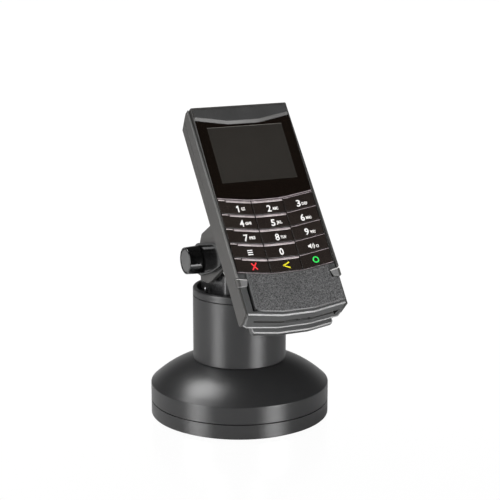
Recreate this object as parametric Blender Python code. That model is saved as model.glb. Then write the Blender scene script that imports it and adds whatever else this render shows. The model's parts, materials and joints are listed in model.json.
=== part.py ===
"""Card payment terminal in a tilting cradle on a round swivel stand.

Metres, +Z up, origin at the centre of the underside, terminal facing -Y and leaning back.
"""
import math

import bmesh
import bpy
from mathutils import Matrix

MM = 0.001
GAP = 0.3

# Stand
BASE_R = 57.5
DOME_EDGE_Z = 22.0
DOME_TOP_Z = 37.7
DOME_SAG = 2.0
TUBE_R = 30.0
TUBE_WALL = 2.6
COLLAR_Z = 80.0
COLLAR_TOP_Z = 85.0

# Tilt joint
PIVOT_Z = 105.0
LEAN_DEG = 37.0
BOLT_R = 3.0
CHEEK_IN = 17.5
CHEEK_OUT = 19.5
EAR_IN = 21.5
EAR_OUT = 24.5
KNOB_R = 9.0
KNOB_END = 37.75

# Terminal, measured from the centre of its face: u across, n out of the face, v up the face
FACE_N = 57.4
FACE_V = 8.1
HALF_W = 34.4
WALL_IN = 33.1
LOW_HALF = 32.8
RIM_MID = -0.41
RIM_LEAN = 0.0365
GLASS_HALF = 32.0
MID_HALF = 10.6
BODY_BACK = -14.2
PLATE_FRONT = -14.5
PLATE_BACK = -17.2
SPLIT_N = -10.4
BAND_V = 60.4
BAND_DROP = 4.0
KEY_TOP_V = 5.9
KEY_DROP = 3.3
ROW_PITCH = 9.7
TOP_V = 69.2
TOP_SLOPE = 0.35

KEY_NAMES = (
    ("key_1", "key_2", "key_3"),
    ("key_4", "key_5", "key_6"),
    ("key_7", "key_8", "key_9"),
    ("key_menu", "key_0", "key_sound"),
    ("key_cancel", "key_correct", "key_ok"),
)
KEY_COLS = ((-32.0, -10.75), (-10.45, 10.45), (10.75, 32.0))


def reset():
    """Empty the file and make the two collections."""
    for obj in list(bpy.data.objects):
        bpy.data.objects.remove(obj, do_unlink=True)
    for name in ("card_terminal", "cutters"):
        coll = bpy.data.collections.new(name)
        bpy.context.scene.collection.children.link(coll)


def material(name, colour, metallic, roughness):
    """Return the Principled material of this name."""
    mat = bpy.data.materials.get(name)
    if mat is None:
        mat = bpy.data.materials.new(name)
        mat.use_nodes = True
        bsdf = mat.node_tree.nodes["Principled BSDF"]
        bsdf.inputs["Base Color"].default_value = (*colour, 1.0)
        bsdf.inputs["Metallic"].default_value = metallic
        bsdf.inputs["Roughness"].default_value = roughness
    return mat


def finish(bm, name, mat, parent=None, cutter=False):
    """Turn a bmesh in millimetres into an object."""
    bmesh.ops.scale(bm, vec=(MM, MM, MM), verts=bm.verts)
    bmesh.ops.recalc_face_normals(bm, faces=bm.faces)
    mesh = bpy.data.meshes.new(name)
    bm.to_mesh(mesh)
    bm.free()
    obj = bpy.data.objects.new(name, mesh)
    coll = "cutters" if cutter else "card_terminal"
    bpy.data.collections[coll].objects.link(obj)
    if cutter:
        obj.hide_render = True
        obj.display_type = "WIRE"
    else:
        mesh.materials.append(material(*mat))
    if parent is not None:
        obj.parent = parent
    return obj


def loft(loops):
    """Closed bmesh through equal rings of points, capped at both ends."""
    bm = bmesh.new()
    rings = [[bm.verts.new(p) for p in loop] for loop in loops]
    count = len(rings[0])
    for low, high in zip(rings, rings[1:]):
        for i in range(count):
            j = (i + 1) % count
            bm.faces.new((low[i], low[j], high[j], high[i]))
    bm.faces.new(rings[0])
    bm.faces.new(rings[-1])
    return bm


def revolve_bm(profile, steps, axis, turn):
    """Closed bmesh from a closed (radius, height) outline turned about X or Z."""
    bm = bmesh.new()
    rings = []
    for r, t in profile:
        if r < 1e-6:
            ring = [bm.verts.new((0, 0, t))]
        else:
            angles = [2 * math.pi * k / steps + turn for k in range(steps)]
            ring = [bm.verts.new((r * math.cos(a), r * math.sin(a), t)) for a in angles]
        rings.append(ring)
    for low, high in zip(rings, rings[1:] + rings[:1]):
        for k in range(steps):
            m = (k + 1) % steps
            corners = []
            for vert in (low[k % len(low)], low[m % len(low)], high[m % len(high)], high[k % len(high)]):
                if vert not in corners:
                    corners.append(vert)
            if len(corners) > 2:
                bm.faces.new(corners)
    if axis == "X":
        bmesh.ops.rotate(bm, matrix=Matrix.Rotation(math.pi / 2, 3, "Y"), verts=bm.verts)
    return bm


def revolve(name, profile, mat, steps=48, axis="Z", at=(0, 0, 0), parent=None, cutter=False):
    """Object of revolution about X or Z through a point."""
    bm = revolve_bm(profile, steps, axis, 0.11 if cutter else 0.0)
    bmesh.ops.translate(bm, vec=at, verts=bm.verts)
    return finish(bm, name, mat, parent, cutter)


def rod(radius, low, high):
    """Outline of a plain cylinder."""
    return [(0, low), (radius, low), (radius, high), (0, high)]


def ring(inner, outer, low, high):
    """Outline of a plain ring."""
    return [(inner, low), (outer, low), (outer, high), (inner, high)]


def box(name, low, high, mat=None, parent=None, cutter=False):
    """Box between two corners in millimetres."""
    (x0, y0, z0), (x1, y1, z1) = low, high
    base = [(x0, y0), (x1, y0), (x1, y1), (x0, y1)]
    bm = loft([[(x, y, z0) for x, y in base], [(x, y, z1) for x, y in base]])
    return finish(bm, name, mat, parent, cutter)


def face(u, n, v):
    """Face coordinates to coordinates about the tilt pivot."""
    return (u, -(FACE_N + n), v + FACE_V)


def slab(name, outline, n0, n1, mat=None, parent=None, cutter=False, back=None):
    """Outline in the face plane, made solid from depth n0 to n1."""
    other = back or outline
    loops = [[face(u, n0, v) for u, v in outline], [face(u, n1, v) for u, v in other]]
    return finish(loft(loops), name, mat, parent, cutter)


def block(name, u, n, v, mat=None, parent=None, cutter=False):
    """Box in face coordinates."""
    return slab(name, [(u[0], v[0]), (u[1], v[0]), (u[1], v[1]), (u[0], v[1])], n[0], n[1],
                mat, parent, cutter)


def across(name, outline, u0, u1, mat=None, parent=None, cutter=False):
    """Outline of (depth, height) about the pivot, made solid from u0 to u1."""
    loops = [[(u, -n, v) for n, v in outline] for u in (u0, u1)]
    return finish(loft(loops), name, mat, parent, cutter)


def boolean(obj, other, operation):
    """Exact Boolean, with the other object kept as a cutter."""
    mod = obj.modifiers.new(operation.lower(), "BOOLEAN")
    mod.operation = operation
    mod.solver = "EXACT"
    mod.object = other


def cut(obj, *others):
    """Cut others out of an object."""
    for other in others:
        boolean(obj, other, "DIFFERENCE")


def add(obj, *others):
    """Join others to an object."""
    for other in others:
        boolean(obj, other, "UNION")


def chevron(v_end, drop, u, half=32.2):
    """Height of a three-part line that dips by drop over the middle third."""
    share = (half - abs(u)) / (half - MID_HALF)
    return v_end - drop * min(1.0, max(0.0, share))


def line(v_end, drop, u_list, half=32.2):
    """Points along a three-part line."""
    return [(u, chevron(v_end, drop, u, half)) for u in u_list]


BLACK = ("black_plastic", (0.012, 0.012, 0.012), 0.0, 0.25)
GREY = ("grey_plastic", (0.06, 0.06, 0.062), 0.0, 0.55)
METAL_PAINT = ("dark_paint", (0.055, 0.056, 0.058), 0.0, 0.42)
STEEL = ("steel", (0.45, 0.45, 0.46), 1.0, 0.35)
ALLOY = ("alloy", (0.6, 0.6, 0.6), 1.0, 0.4)
GLASS = ("window", (0.008, 0.007, 0.006), 0.0, 0.08)
KEY = ("key_gloss", (0.014, 0.011, 0.01), 0.0, 0.2)
RUBBER = ("rubber", (0.02, 0.02, 0.02), 0.0, 0.8)
PALE = ("pale_plastic", (0.35, 0.34, 0.34), 0.0, 0.4)
BOARD = ("board", (0.02, 0.12, 0.05), 0.0, 0.5)
CELL = ("cell", (0.1, 0.12, 0.16), 0.0, 0.4)
COPPER = ("copper", (0.6, 0.3, 0.15), 1.0, 0.35)
LCD = ("lcd", (0.04, 0.037, 0.034), 0.0, 0.3)


def dome_arc(low, high, count):
    """Points along the shallow arc of the dome, bulging DOME_SAG outwards."""
    dr, dz = high[0] - low[0], high[1] - low[1]
    length = math.hypot(dr, dz)
    points = []
    for k in range(count + 1):
        t = k / count
        bulge = 4 * DOME_SAG * t * (1 - t)
        points.append((low[0] + dr * t + bulge * dz / length, low[1] + dz * t - bulge * dr / length))
    return points


def build_base():
    """Foot, weight, domed cover, tube, collar and the fixings inside."""
    revolve("foot_pad", [(0, 0), (54.5, 0), (54.5, 1.0), (0, 1.0)], RUBBER, 64)
    weight = revolve("base_weight", [(0, 1.3), (56.5, 1.3), (BASE_R, 2.3), (BASE_R, 10.5), (0, 10.5)],
                     METAL_PAINT, 64)
    dome = [(BASE_R, 10.8), (BASE_R, DOME_EDGE_Z - 0.5)]
    dome += dome_arc((BASE_R - 0.3, DOME_EDGE_Z), (TUBE_R - 0.6, DOME_TOP_Z), 8)
    inner = [(9, DOME_TOP_Z), (9, 34.5), (29, 34.5), (42, 29.6), (51, 23.6), (54, 18.5), (54, 10.8)]
    cover = revolve("base_cover", dome + inner, METAL_PAINT, 64)
    tube = ring(TUBE_R - TUBE_WALL, TUBE_R, DOME_TOP_Z + GAP, COLLAR_Z - 0.15)
    revolve("pole_tube", tube, METAL_PAINT, 64)
    collar = ring(TUBE_R - TUBE_WALL, TUBE_R, COLLAR_Z + 0.15, COLLAR_TOP_Z)
    revolve("pole_collar", collar, METAL_PAINT, 64)
    plug = [(4.4, 37.9), (27.1, 37.9), (27.1, 48), (4.4, 48)]
    revolve("tube_plug", plug, ALLOY, 48)
    bolt = [(0, 2.2), (6.5, 2.2), (6.5, 6.7), (4, 6.7), (4, 52), (0, 52)]
    revolve("centre_bolt", bolt, STEEL, 24)
    revolve("centre_nut", ring(4.8, 7.5, 48.3, 51.7), STEEL, 6)
    cut(weight, revolve("cut_bore", rod(4.4, 0, 20), None, 24, cutter=True),
        revolve("cut_counterbore", rod(7.2, 0, 7.0), None, 24, cutter=True))
    for k in range(3):
        a = math.radians(90 + 120 * k)
        x, y = 44 * math.cos(a), 44 * math.sin(a)
        at = (x, y, 0)
        boss = revolve(f"add_boss_{k}", rod(4.5, 10.8, 28.0), None, 16, at=at, cutter=True)
        add(cover, boss)
        cut(cover, revolve(f"cut_pilot_{k}", rod(1.9, 5, 21.5), None, 12, at=at, cutter=True))
        cut(weight, revolve(f"cut_screw_{k}", rod(2.1, 0, 20), None, 12, at=at, cutter=True))
        cut(weight, revolve(f"cut_head_{k}", rod(3.9, 0, 4.6), None, 16, at=at, cutter=True))
        screw = [(0, 1.8), (3.5, 1.8), (3.5, 4.3), (1.7, 4.3), (1.7, 20.5), (0, 20.5)]
        revolve(f"cover_screw_{k + 1}", screw, STEEL, 12, at=at)
    bush = revolve("swivel_bush", ring(8.2, 27.1, 64, 75.5), BLACK, 48)
    add(bush, box("add_stop_lug", (21.5, -1.5, 74), (25.5, 1.5, 77.0), cutter=True))


def build_head():
    """Turntable, spindle nut, tilt bracket and the tilt bolt."""
    disc = [(0, 58), (7.9, 58), (7.9, 77.4), (26.9, 77.4), (26.9, 80.4), (0, 80.4)]
    disc = revolve("swivel_disc", disc, BLACK, 48)
    revolve("swivel_washer", ring(8.2, 14, 61.9, 63.7), ALLOY, 32)
    revolve("swivel_nut", ring(9.4, 14, 58.2, 61.6), STEEL, 6)
    cut(disc, revolve("cut_pin", rod(1.5, 70, 90), None, 12, at=(-23.5, 0, 0), cutter=True))
    revolve("stop_pin", rod(1.2, 75.9, 86.5), STEEL, 16, at=(-23.5, 0, 0))
    bend = 4.0
    plan = [(CHEEK_OUT - 1, 18.5), (CHEEK_OUT, 17.5)]
    for k in range(5):
        a = math.radians(-90 * k / 4)
        plan.append((CHEEK_OUT - bend + bend * math.cos(a), -20.6 + bend + bend * math.sin(a)))
    plan = plan + [(-x, y) for x, y in reversed(plan)]
    solid = [[(x, y, z) for x, y in plan] for z in (80.7, PIVOT_Z + 11)]
    bracket = finish(loft(solid), "tilt_bracket", METAL_PAINT)
    hollow = box("cut_hollow", (-CHEEK_IN, -18.2, 83.2), (CHEEK_IN, 30, 130), cutter=True)
    cut(bracket, hollow)
    trim = [(-30, 97), (-15.5, 97), (-9.5, 104), (-8.5, 108.5), (-5, 113), (0, 115.5), (5, 113), (8.5, 108.5),
            (9.5, 104), (15.5, 97), (30, 97), (30, 140), (-30, 140)]
    loops = [[(x, y, z) for y, z in trim] for x in (-30, 30)]
    cut(bracket, finish(loft(loops), "cut_trim", None, cutter=True))
    cut(bracket, revolve("cut_bolt", rod(BOLT_R + 0.1, -40, 40), None, 24, "X", (0, 0, PIVOT_Z), cutter=True))
    for k, x in enumerate((-10, 10)):
        cut(bracket, revolve(f"cut_fix_{k}", rod(2.3, 70, 90), None, 12, at=(x, 4, 0), cutter=True))
        cut(disc, revolve(f"cut_tap_{k}", rod(2.3, 78.2, 90), None, 12, at=(x, 4, 0), cutter=True))
        screw = [(0, 78.5), (2.0, 78.5), (2.0, 83.5), (3.6, 83.5), (3.6, 85.5), (0, 85.5)]
        revolve(f"bracket_screw_{k + 1}", screw, STEEL, 12, at=(x, 4, 0))
    at = (0, 0, PIVOT_Z)
    revolve("tilt_bolt", rod(BOLT_R, -35.5, 31.0), STEEL, 24, "X", at)
    revolve("friction_washer_l", ring(BOLT_R + 0.3, 9, -21.2, -19.8), RUBBER, 24, "X", at)
    revolve("friction_washer_r", ring(BOLT_R + 0.3, 9, 19.8, 21.2), RUBBER, 24, "X", at)
    revolve("lock_nut", ring(BOLT_R + 0.6, 6.4, 24.8, 30.0), STEEL, 6, "X", at)


def build_knob():
    """Clamp knob and its end cap, on the tilt bolt."""
    at = (0, 0, PIVOT_Z)
    knob = [(BOLT_R + 0.1, -28.6), (KNOB_R, -28.6), (KNOB_R, -36.9), (KNOB_R - 0.8, -KNOB_END),
            (KNOB_R - 1.5, -KNOB_END), (KNOB_R - 1.5, -36.2), (BOLT_R + 0.1, -36.2)]
    revolve("clamp_knob", knob, BLACK, 32, "X", at)
    revolve("knob_cap", rod(KNOB_R - 1.8, -37.5, -36.4), PALE, 32, "X", at)


def ear_outline():
    """Side outline of one ear, from the cradle back round the pivot."""
    points = [(41.5, -17.5), (21.5, -17.2), (3.5, -16.4)]
    for k in range(7):
        a = math.radians(-100 - 13 * k)
        points.append((15.6 * math.cos(a) + 1.5, 15.6 * math.sin(a) - 0.6))
    return points + [(-12.6, 4), (-7.5, 9.0), (-1, 11.2), (5.8, 14.9), (21, 13.1), (41.5, 6.0)]


def saddle_outline():
    """Side outline of the clamp saddle, round the bolt and forward towards the cradle's back."""
    points = []
    for k in range(13):
        a = math.radians(66 + 15.3 * k)
        points.append((10.4 * math.cos(a), 10.4 * math.sin(a)))
    return points + [(13.5, -15.2), (27.4, -17.2), (34, -15.5), (34, -4.5), (26.1, -0.9), (13.7, 4.85)]


def rim_depth(v):
    """Depth of the cradle wall's front rim, which leans a little against the case."""
    return RIM_MID - RIM_LEAN * v


def back_wedge(side):
    """Sections of the wedge that chamfers the back corner of one cradle wall, wider towards the bottom."""
    loops = []
    for v, n in ((-90, -13.1), (-50, -13.1), (75, -16.85)):
        section = [(n + 2.1, 35.43), (n - 8.4, 30.3), (-30, 30.3), (-30, 40), (n + 2.1, 40)]
        loops.append([face(side * u, depth, v) for depth, u in section[::side]])
    return loops


def build_cradle(pivot):
    """Back plate with side walls and ears, the saddle, the toe below and the two front fingers."""
    outline = [(-32.5, -68.2), (32.5, -68.2), (HALF_W, -64), (HALF_W, 60.4), (32.3, 63.2), (-32.3, 63.2),
               (-HALF_W, 60.4), (-HALF_W, -64)]
    tray = slab("cradle_tray", outline, PLATE_BACK, PLATE_FRONT, GREY, pivot)
    wall = [(rim_depth(69.6), 69.6), (rim_depth(-46.4), -46.4), (-2.0, -46.4), (-2.0, -70.2), (-11.9, -72.5),
            (-13.1, -71.3), (-15.4, -68.0), (-16.6, -66.5), (-16.6, 63.0),
            (-9.0, 67.2)]
    wall = [(FACE_N + n, v + FACE_V) for n, v in wall]
    for name, s in (("l", -1), ("r", 1)):
        add(tray, across(f"add_wall_{name}", wall, s * WALL_IN, s * (HALF_W - 0.01), parent=pivot, cutter=True))
        add(tray, across(f"add_ear_{name}", ear_outline(), s * EAR_IN, s * EAR_OUT, parent=pivot, cutter=True))
    cut(tray, revolve("cut_ears", rod(BOLT_R + 0.1, -40, 40), None, 24, "X", parent=pivot, cutter=True))
    for name, s in (("l", -1), ("r", 1)):
        cut(tray, finish(loft(back_wedge(s)), f"cut_back_{name}", None, pivot, cutter=True))
        corner = [(s * 33.0, 69.9), (s * 34.8, 68.4), (s * 40, 68.4), (s * 40, 80), (s * 33.0, 80)]
        cut(tray, slab(f"cut_corner_{name}", corner, -9.0, 5, parent=pivot, cutter=True))
    saddle = across("clamp_saddle", saddle_outline(), -28.2, -24.8, BLACK, pivot)
    cut(saddle, revolve("cut_saddle", rod(BOLT_R + 0.1, -40, 40), None, 24, "X", parent=pivot, cutter=True))
    us = (27, MID_HALF, -MID_HALF, -27)
    low = line(-77.0, 2.3, us, 27)
    toe = [(-27, -68.6), (27, -68.6), (27, -76.0), (26, -77.0)] + low[1:3] + [(-26, -77.0), (-27, -76.0)]
    slab("cradle_toe", toe, -16.9, -12.6, GREY, pivot)
    for name, s in (("l", -1), ("r", 1)):
        clip = block(f"clip_finger_{name}", sorted((s * 27.7, s * (HALF_W - 0.05))), (0.1, 1.5),
                     (-52.2, -46.7), PALE, pivot)
        leg = block(f"add_leg_{name}", sorted((s * 33.2, s * (HALF_W - 0.05))), (-1.5, 1.0), (-52.2, -46.7),
                    None, pivot, True)
        add(clip, leg)
    for k, u in enumerate((-18, 18)):
        cut(tray, revolve(f"cut_tray_{k}", rod(1.8, -80, 80), None, 12, "X", parent=pivot, cutter=True))
        hole = bpy.data.objects[f"cut_tray_{k}"]
        hole.rotation_euler = (0, 0, math.pi / 2)
        hole.location = (u * MM, 0, (FACE_V + 52) * MM)
        screw = [(0, -18.9), (3.1, -18.9), (3.1, -17.5), (1.5, -17.5), (1.5, -14.5), (0, -14.5)]
        bolt = revolve(f"cradle_screw_{k + 1}", screw, STEEL, 12, "X", (FACE_N, 0, 0), parent=pivot)
        bolt.rotation_euler = (0, 0, -math.pi / 2)
        bolt.location = (u * MM, 0, (FACE_V + 52) * MM)


def case_outline(n):
    """Case outline at a depth; its top end slopes back."""
    top = TOP_V + TOP_SLOPE * n
    mid = line(-42.8, 3.1, (-MID_HALF, MID_HALF))
    return [(-LOW_HALF, -42.8)] + mid + [(LOW_HALF, -42.8), (LOW_HALF, top - 0.7), (32.1, top), (-32.1, top),
                                         (-LOW_HALF, top - 0.7)]


def build_case(pivot):
    """Rear cover, front frame, head band, display and the pieces inside."""
    cover = slab("rear_cover", case_outline(BODY_BACK), BODY_BACK, SPLIT_N - 0.3, GREY, pivot,
                 back=case_outline(SPLIT_N - 0.3))
    cut(cover, block("cut_rear", (-31.0, 31.0), (-12.6, 0), (-41.2, 61.0), parent=pivot, cutter=True))
    frame = slab("front_frame", case_outline(SPLIT_N), SPLIT_N, 0.0, GREY, pivot, back=case_outline(0.0))
    cut(frame, block("cut_front", (-32.3, 32.3), (-4.2, 5), (-60, 62.0), parent=pivot, cutter=True))
    recess = [(-32.3, 55), (32.3, 55), (32.3, 66.9), (31.4, 67.8), (-31.4, 67.8), (-32.3, 66.9)]
    cut(frame, slab("cut_band", recess, -2.5, 5, parent=pivot, cutter=True))
    cut(frame, block("cut_inside", (-31.0, 31.0), (-20, -5.0), (-41.2, 62.0), parent=pivot, cutter=True))
    band = [(-31.2, 67.5), (-32.0, 66.7)] + line(BAND_V, BAND_DROP, (-32.0, -MID_HALF, MID_HALF, 32.0))
    slab("head_band", band + [(32.0, 66.7), (31.2, 67.5)], -2.2, 0.5, GREY, pivot)
    top = line(BAND_V - 0.3, BAND_DROP, (GLASS_HALF, MID_HALF, -MID_HALF, -GLASS_HALF))
    low = line(KEY_TOP_V + 0.3, KEY_DROP, (-GLASS_HALF, -MID_HALF, MID_HALF, GLASS_HALF))
    slab("display_window", top + low, -2.3, -0.3, GLASS, pivot)
    block("lcd_panel", (-27.0, 27.0), (-3.9, -2.6), (13.0, 55.8), LCD, pivot)
    low = line(-42.0, KEY_DROP, (-31.8, -MID_HALF, MID_HALF, 31.8))
    top = line(KEY_TOP_V - 0.6, KEY_DROP, (31.8, MID_HALF, -MID_HALF, -31.8))
    slab("keypad_plate", low + top, -3.9, -3.2, PALE, pivot)
    block("main_board", (-30, 30), (-7.9, -6.6), (-40.5, 60), BOARD, pivot)
    block("battery", (-24, 24), (-12.3, -8.3), (-32, 30), CELL, pivot)
    coil = block("antenna_coil", (-27, 27), (-6.3, -5.5), (12, 58), COPPER, pivot)
    cut(coil, block("cut_coil", (-24.5, 24.5), (-8, -4), (14.5, 55.5), parent=pivot, cutter=True))
    speaker = revolve("speaker", rod(8.5, -12.3, -9.0), BLACK, 24, "X", (FACE_N, 0, 0), parent=pivot)
    speaker.rotation_euler = (0, 0, -math.pi / 2)
    speaker.location = (0, 0, (FACE_V + 48) * MM)


def build_reader(pivot):
    """Card reader frame with its slot, the raised hood and the contact block."""
    top = line(-42.8 - GAP, 3.1, (-LOW_HALF, -MID_HALF, MID_HALF, LOW_HALF))
    front_low = line(-69.3, 3.3, (32.5, MID_HALF, -MID_HALF, -32.5), LOW_HALF)
    front_low = [(LOW_HALF, -68.9)] + front_low + [(-LOW_HALF, -68.9)]
    back_low = line(-73.4, 2.8, (30.6, MID_HALF, -MID_HALF, -30.6), LOW_HALF)
    back_low = [(LOW_HALF, -71.9)] + back_low + [(-LOW_HALF, -71.9)]
    shell = slab("reader_frame", top + front_low, -0.2, -12.2, GREY, pivot, back=top + back_low)
    cut(shell, block("cut_upper", (-40, 40), (-20, -4.9), (-45.7, -20), parent=pivot, cutter=True))
    cut(shell, block("cut_slot", (-27.4, 27.4), (-7.3, -6.1), (-90, -52), parent=pivot, cutter=True))
    cut(shell, block("cut_nest", (-14, 14), (-20, -7.0), (-64, -48.5), parent=pivot, cutter=True))
    cut(shell, block("cut_channel", (-28.9, -27.4), (-3.6, 5), (-67.6, -47), parent=pivot, cutter=True))
    corner = [(-8.0, 25.3), (-4.9, 25.3), (-4.9, 28.4)]
    loops = [[face(u, n, v) for n, u in corner] for v in (-90, -69.0)]
    cut(shell, finish(loft(loops), "cut_notch", None, pivot, cutter=True))
    block("contact_block", (-13.5, 13.5), (-11.8, -7.8), (-63.5, -49), BLACK, pivot)
    top = line(-43.4, 3.1, (-27.4, -MID_HALF, MID_HALF, 27.4))
    low = line(-67.4, 3.2, (31.6, MID_HALF, -MID_HALF, -23.8), LOW_HALF)
    pad = top + [(27.4, -52.6), (31.6, -52.6)] + low + [(-26.3, -67.0), (-27.4, -65.2)]
    slab("reader_hood", pad, 0.1, 1.7, GREY, pivot)


def build_keys(pivot):
    """Fifteen keys in five dipping rows."""
    for row, names in enumerate(KEY_NAMES):
        high = KEY_TOP_V - 0.15 - ROW_PITCH * row
        low = high - ROW_PITCH + 0.3
        for name, (u0, u1) in zip(names, KEY_COLS):
            outline = line(low, KEY_DROP, (u0, u1)) + line(high, KEY_DROP, (u1, u0))
            slab(name, outline, -2.4, 0.1, KEY, pivot)


def main():
    """Build the whole object."""
    reset()
    build_base()
    build_head()
    build_knob()
    pivot = bpy.data.objects.new("tilt_pivot", None)
    bpy.data.collections["card_terminal"].objects.link(pivot)
    pivot.location = (0, 0, PIVOT_Z * MM)
    pivot.rotation_euler = (-math.radians(LEAN_DEG), 0, 0)
    build_cradle(pivot)
    build_case(pivot)
    build_reader(pivot)
    build_keys(pivot)


main()
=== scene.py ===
"""Looks of the card payment terminal on its tilting swivel stand."""
import json
import math

import bmesh
import bpy
from mathutils import Matrix, Vector


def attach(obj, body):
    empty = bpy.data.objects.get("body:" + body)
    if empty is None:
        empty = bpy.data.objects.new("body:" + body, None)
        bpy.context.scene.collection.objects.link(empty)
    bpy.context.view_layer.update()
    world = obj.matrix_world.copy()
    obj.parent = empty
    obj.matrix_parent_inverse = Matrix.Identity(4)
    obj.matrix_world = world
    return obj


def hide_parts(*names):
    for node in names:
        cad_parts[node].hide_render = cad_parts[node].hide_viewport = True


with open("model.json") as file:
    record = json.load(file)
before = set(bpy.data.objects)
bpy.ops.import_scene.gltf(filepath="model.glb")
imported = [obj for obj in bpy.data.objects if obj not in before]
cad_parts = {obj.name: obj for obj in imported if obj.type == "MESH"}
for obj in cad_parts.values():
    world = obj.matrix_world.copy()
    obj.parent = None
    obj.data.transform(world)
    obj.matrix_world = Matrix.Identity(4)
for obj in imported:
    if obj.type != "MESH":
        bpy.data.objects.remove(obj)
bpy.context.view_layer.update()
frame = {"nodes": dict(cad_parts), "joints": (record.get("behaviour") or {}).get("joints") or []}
NODES = frame["nodes"]
JOINTS = {joint["name"]: joint for joint in frame["joints"]}

MM = 0.001
TAU = 2 * math.pi
TINY = 1e-6

# Frames: every shape is drawn in millimetres in STAND, FACE, ALONG, SIDE or BOLT
PRESS = Vector(JOINTS["key_5_press"]["axis"])
LEAN = math.atan2(-PRESS.z, PRESS.y)
AT_TILT = Matrix.Translation(JOINTS["tilt"]["pos_m"])
PIVOT = AT_TILT @ Matrix.Rotation(-LEAN, 4, "X") @ Matrix.Scale(MM, 4)
STAND = Matrix.Scale(MM, 4)
FACE_N = 57.4
FACE_V = 8.1
AT_FACE = PIVOT @ Matrix.Translation((0, -FACE_N, FACE_V))
# FACE: u across, v up the face, n out of it
FACE = AT_FACE @ Matrix(((1, 0, 0, 0), (0, 0, -1, 0), (0, 1, 0, 0), (0, 0, 0, 1)))
# ALONG: n out of the face, u across, v up
ALONG = AT_FACE @ Matrix(((0, 1, 0, 0), (-1, 0, 0, 0), (0, 0, 1, 0), (0, 0, 0, 1)))
# SIDE: depth and height about the pivot, then sideways; BOLT: Z along the tilt bolt
SIDE = PIVOT @ Matrix(((0, 0, -1, 0), (-1, 0, 0, 0), (0, 1, 0, 0), (0, 0, 0, 1)))
BOLT = AT_TILT @ Matrix.Rotation(-math.pi / 2, 4, "Y") @ Matrix.Scale(MM, 4)

FLIP = Matrix.Rotation(math.pi, 4, "X")

# Sizes in millimetres
BASE_R = 57.5
TUBE_R = 30.0
TUBE_BORE = 27.4
CASE_HALF = 32.8
GLASS_HALF = 32.2
WALL_HALF = 34.39
MID_HALF = 10.6
KEY_TOP_V = 5.9
KEY_DROP = 3.3
ROW_PITCH = 9.7
STAND_STEPS = 160
BRACKET_BOLT_X = (-10, 10)
BRACKET_BOLT_Y = 4
TRAY_SCREW_U = (-18, 18)
TRAY_SCREW_V = 52
PAD_RIGHT = 32.2
PRINT_RISE = 0.02


def shifted(matrix, x, y, z=0):
    """Frame moved along its own axes."""
    return matrix @ Matrix.Translation((x, y, z))


# ---------------------------------------------------------------- outlines

def rounded(corners, steps=4):
    """Closed outline with each (x, y, radius) corner turned into an arc."""
    out = []
    count = len(corners)
    for i, corner in enumerate(corners):
        p = Vector(corner[:2])
        radius = corner[2] if len(corner) > 2 else 0.0
        if radius <= 0:
            out.append(tuple(p))
            continue
        a = (Vector(corners[i - 1][:2]) - p)
        b = (Vector(corners[(i + 1) % count][:2]) - p)
        la, lb = a.length, b.length
        a.normalize()
        b.normalize()
        half = a.angle(b) / 2
        reach = min(radius / math.tan(half), 0.49 * la, 0.49 * lb)
        radius = reach * math.tan(half)
        centre = p + (a + b).normalized() * (radius / math.sin(half))
        start = p + a * reach - centre
        turn = math.pi - 2 * half
        sign = 1 if a.cross(b) < 0 else -1
        for k in range(steps + 1):
            t = sign * turn * k / steps
            x = start.x * math.cos(t) - start.y * math.sin(t)
            y = start.x * math.sin(t) + start.y * math.cos(t)
            out.append((centre.x + x, centre.y + y))
    return out


def area(points):
    """Signed area of an outline."""
    total = 0.0
    for (x0, y0), (x1, y1) in zip(points, points[1:] + points[:1]):
        total += x0 * y1 - x1 * y0
    return total / 2


def inset(points, distance):
    """Outline moved inwards by a distance, with mitred corners."""
    side = 1 if area(points) > 0 else -1
    count = len(points)
    out = []
    for i in range(count):
        p = Vector(points[i])
        before, after = p - Vector(points[i - 1]), Vector(points[(i + 1) % count]) - p
        before.normalize()
        after.normalize()
        n0 = Vector((-before.y, before.x)) * side
        n1 = Vector((-after.y, after.x)) * side
        out.append(tuple(p + (n0 + n1) * (distance / max(0.4, 1 + n0.dot(n1)))))
    return out


def rim(points, z, radius, outward, steps=3):
    """Rings that round an edge: outward +1 ends flat at z, -1 starts flat at z."""
    rings = []
    for k in range(steps + 1):
        t = math.pi / 2 * k / steps
        rings.append((inset(points, radius * (1 - math.cos(t))), z - outward * radius * (1 - math.sin(t))))
    return rings if outward > 0 else rings[::-1]


def plate(points, z0, z1, r0=0.3, r1=0.3, steps=3):
    """Rings of a plate with rounded edges below and above."""
    return rim(points, z0, r0, -1, steps) + rim(points, z1, r1, 1, steps)


def fall(u, drop, half, blend):
    """How far a three-part line lies below its ends at u."""
    slope = drop / (half - MID_HALF)
    x = abs(u)
    if x <= MID_HALF - blend:
        return drop
    if x < MID_HALF + blend:
        return drop - slope * (x - MID_HALF + blend) ** 2 / (4 * blend)
    return drop - slope * (x - MID_HALF)


def dip(v_end, drop, u0, u1, half=GLASS_HALF, blend=5.0, count=None):
    """Points along a line that dips by drop over the middle."""
    if count is None:
        count = max(2, int(abs(u1 - u0) / 1.6))
    us = [u0 + (u1 - u0) * k / count for k in range(count + 1)]
    return [(u, v_end - fall(u, drop, half, blend)) for u in us]


# ---------------------------------------------------------------- meshes

def stack(rings, paint=None):
    """Closed mesh through rings of (outline, height); paint gives material indices to bands or to the top."""
    bm = bmesh.new()
    loops = [[bm.verts.new((x, y, z)) for x, y in points] for points, z in rings]
    for index, (low, high) in enumerate(zip(loops, loops[1:])):
        for i in range(len(low)):
            j = (i + 1) % len(low)
            face = bm.faces.new((low[i], low[j], high[j], high[i]))
            if paint and index in paint:
                face.material_index = paint[index]
    bm.faces.new(loops[0])
    top = bm.faces.new(loops[-1])
    if paint and "top" in paint:
        top.material_index = paint["top"]
    return bm


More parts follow.
